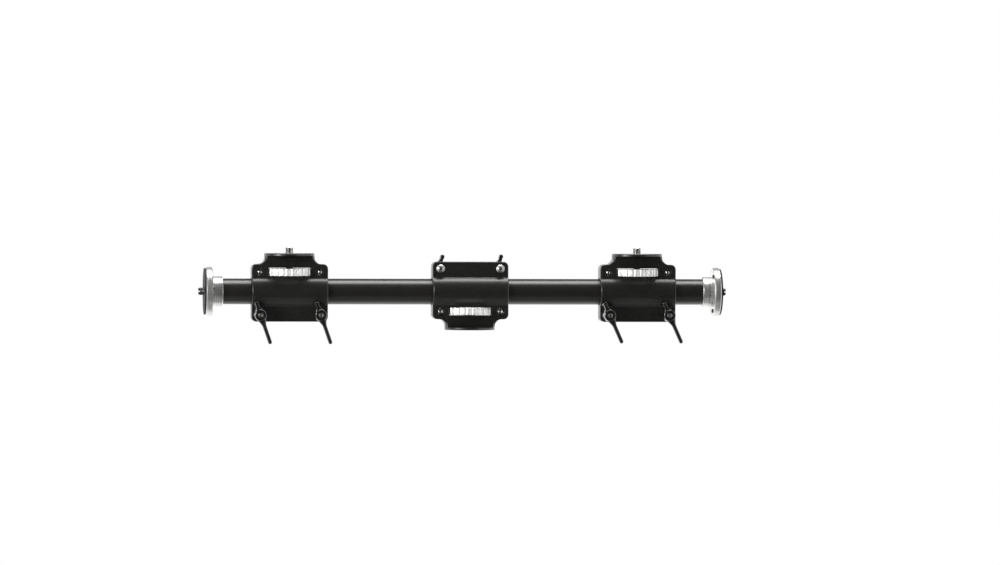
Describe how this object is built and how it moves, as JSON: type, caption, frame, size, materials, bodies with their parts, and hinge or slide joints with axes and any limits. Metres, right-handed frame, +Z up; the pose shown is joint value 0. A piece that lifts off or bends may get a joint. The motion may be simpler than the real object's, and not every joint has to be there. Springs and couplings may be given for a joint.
{
  "type": "tripod crossbar",
  "caption": "Camera crossbar: a black tube with silver end flanges and sliding, swivelling lever clamps, each with a camera platform and a finger wheel.",
  "frame": {"origin": "centre of the centre clamp's platform face, where the tripod's stud enters its thread", "axes": "+X along the bar to the right as seen from the levers of the outer clamps, +Z up, -Y towards those levers"},
  "size_m": [0.654, 0.0696, 0.1181],
  "materials": {
    "cast_black": "satin black powder coat on die-cast aluminium",
    "lever_black": "satin black coat on die-cast alloy",
    "anodised_black": "satin black anodised tube",
    "turned_silver": "turned and clear anodised",
    "wheel_silver": "turned, bright",
    "bolt_chrome": "bright plated",
    "zinc_steel": "zinc plated",
    "black_steel": "black oxide",
    "rubber_black": "matt",
    "nylon_dark": "moulded nylon, dark"
  },
  "bodies": {
    "centre_clamp": {"centre_lever_shell": "cast_black", "centre_plain_shell": "cast_black", "centre_shoulder_screws": "zinc_steel", "centre_shoulder_nuts": "zinc_steel", "centre_clamp_bolts": "bolt_chrome", "centre_lever_washers": "zinc_steel"},
    "centre_liner": {"centre_liner": "nylon_dark"},
    "bar": {"tube": "anodised_black", "left_end_flange": "turned_silver", "right_end_flange": "turned_silver", "left_end_pad": "rubber_black", "right_end_pad": "rubber_black", "left_end_stud": "zinc_steel", "right_end_stud": "zinc_steel", "hub_grub_screws": "black_steel", "head_lock_screws": "black_steel"},
    "left_liner": {"left_liner": "nylon_dark"},
    "left_clamp": {"left_lever_shell": "cast_black", "left_plain_shell": "cast_black", "left_shoulder_screws": "zinc_steel", "left_shoulder_nuts": "zinc_steel", "left_clamp_bolts": "bolt_chrome", "left_lever_washers": "zinc_steel"},
    "right_liner": {"right_liner": "nylon_dark"},
    "right_clamp": {"right_lever_shell": "cast_black", "right_plain_shell": "cast_black", "right_shoulder_screws": "zinc_steel", "right_shoulder_nuts": "zinc_steel", "right_clamp_bolts": "bolt_chrome", "right_lever_washers": "zinc_steel"},
    "left_wheel": {"left_wheel": "wheel_silver", "left_camera_stud": "zinc_steel"},
    "left_insert_a": {"left_insert_a": "zinc_steel", "left_spring_a": "zinc_steel", "left_keeper_a": "black_steel"},
    "left_lever_a": {"left_lever_a": "lever_black"},
    "left_insert_b": {"left_insert_b": "zinc_steel", "left_spring_b": "zinc_steel", "left_keeper_b": "black_steel"},
    "left_lever_b": {"left_lever_b": "lever_black"},
    "centre_wheel": {"centre_wheel": "wheel_silver", "centre_bush": "wheel_silver"},
    "centre_insert_a": {"centre_insert_a": "zinc_steel", "centre_spring_a": "zinc_steel", "centre_keeper_a": "black_steel"},
    "centre_lever_a": {"centre_lever_a": "lever_black"},
    "centre_insert_b": {"centre_insert_b": "zinc_steel", "centre_spring_b": "zinc_steel", "centre_keeper_b": "black_steel"},
    "centre_lever_b": {"centre_lever_b": "lever_black"},
    "right_wheel": {"right_wheel": "wheel_silver", "right_camera_stud": "zinc_steel"},
    "right_insert_a": {"right_insert_a": "zinc_steel", "right_spring_a": "zinc_steel", "right_keeper_a": "black_steel"},
    "right_lever_a": {"right_lever_a": "lever_black"},
    "right_insert_b": {"right_insert_b": "zinc_steel", "right_spring_b": "zinc_steel", "right_keeper_b": "black_steel"},
    "right_lever_b": {"right_lever_b": "lever_black"}
  },
  "joints": [
    {"name": "bar_swivel", "type": "hinge", "parent": "centre_clamp", "child": "centre_liner", "pos_m": [0, 0, 0.047], "axis": [1, 0, 0], "continuous": true},
    {"name": "bar_slide", "type": "slide", "parent": "centre_liner", "child": "bar", "axis": [1, 0, 0], "range_m": [-0.025, 0.025]},
    {"name": "left_clamp_slide", "type": "slide", "parent": "bar", "child": "left_liner", "axis": [1, 0, 0], "range_m": [-0.034, 0.09]},
    {"name": "left_clamp_swivel", "type": "hinge", "parent": "left_liner", "child": "left_clamp", "pos_m": [-0.223, 0, 0.047], "axis": [1, 0, 0], "continuous": true},
    {"name": "right_clamp_slide", "type": "slide", "parent": "bar", "child": "right_liner", "axis": [1, 0, 0], "range_m": [-0.075, 0.031]},
    {"name": "right_clamp_swivel", "type": "hinge", "parent": "right_liner", "child": "right_clamp", "pos_m": [0.208, 0, 0.047], "axis": [1, 0, 0], "continuous": true},
    {"name": "left_wheel_spin", "type": "hinge", "parent": "left_clamp", "child": "left_wheel", "pos_m": [-0.223, 0, 0.047], "axis": [0, 0, 1], "continuous": true},
    {"name": "left_lever_a_turn", "type": "hinge", "parent": "left_clamp", "child": "left_insert_a", "pos_m": [-0.26, 0, 0.0185], "axis": [0, -1, 0], "range_deg": [0, 90]},
    {"name": "left_lever_a_lift", "type": "slide", "parent": "left_insert_a", "child": "left_lever_a", "axis": [0, -1, 0], "range_m": [0, 0.003], "stiffness_N_per_m": 600, "springref_m": -0.003, "deforming": ["left_spring_a"]},
    {"name": "left_lever_b_turn", "type": "hinge", "parent": "left_clamp", "child": "left_insert_b", "pos_m": [-0.186, 0, 0.0185], "axis": [0, -1, 0], "range_deg": [0, 90]},
    {"name": "left_lever_b_lift", "type": "slide", "parent": "left_insert_b", "child": "left_lever_b", "axis": [0, -1, 0], "range_m": [0, 0.003], "stiffness_N_per_m": 600, "springref_m": -0.003, "deforming": ["left_spring_b"]},
    {"name": "centre_wheel_spin", "type": "hinge", "parent": "centre_clamp", "child": "centre_wheel", "pos_m": [0, 0, 0.047], "axis": [0, 0, 1], "continuous": true},
    {"name": "centre_lever_a_turn", "type": "hinge", "parent": "centre_clamp", "child": "centre_insert_a", "pos_m": [-0.037, 0, 0.0755], "axis": [0, 1, 0], "range_deg": [0, 90]},
    {"name": "centre_lever_a_lift", "type": "slide", "parent": "centre_insert_a", "child": "centre_lever_a", "axis": [0, 1, 0], "range_m": [0, 0.003], "stiffness_N_per_m": 600, "springref_m": -0.003, "deforming": ["centre_spring_a"]},
    {"name": "centre_lever_b_turn", "type": "hinge", "parent": "centre_clamp", "child": "centre_insert_b", "pos_m": [0.037, 0, 0.0755], "axis": [0, 1, 0], "range_deg": [0, 90]},
    {"name": "centre_lever_b_lift", "type": "slide", "parent": "centre_insert_b", "child": "centre_lever_b", "axis": [0, 1, 0], "range_m": [0, 0.003], "stiffness_N_per_m": 600, "springref_m": -0.003, "deforming": ["centre_spring_b"]},
    {"name": "right_wheel_spin", "type": "hinge", "parent": "right_clamp", "child": "right_wheel", "pos_m": [0.208, 0, 0.047], "axis": [0, 0, 1], "continuous": true},
    {"name": "right_lever_a_turn", "type": "hinge", "parent": "right_clamp", "child": "right_insert_a", "pos_m": [0.171, 0, 0.0185], "axis": [0, -1, 0], "range_deg": [0, 90]},
    {"name": "right_lever_a_lift", "type": "slide", "parent": "right_insert_a", "child": "right_lever_a", "axis": [0, -1, 0], "range_m": [0, 0.003], "stiffness_N_per_m": 600, "springref_m": -0.003, "deforming": ["right_spring_a"]},
    {"name": "right_lever_b_turn", "type": "hinge", "parent": "right_clamp", "child": "right_insert_b", "pos_m": [0.245, 0, 0.0185], "axis": [0, -1, 0], "range_deg": [0, 90]},
    {"name": "right_lever_b_lift", "type": "slide", "parent": "right_insert_b", "child": "right_lever_b", "axis": [0, -1, 0], "range_m": [0, 0.003], "stiffness_N_per_m": 600, "springref_m": -0.003, "deforming": ["right_spring_b"]}
  ]
}
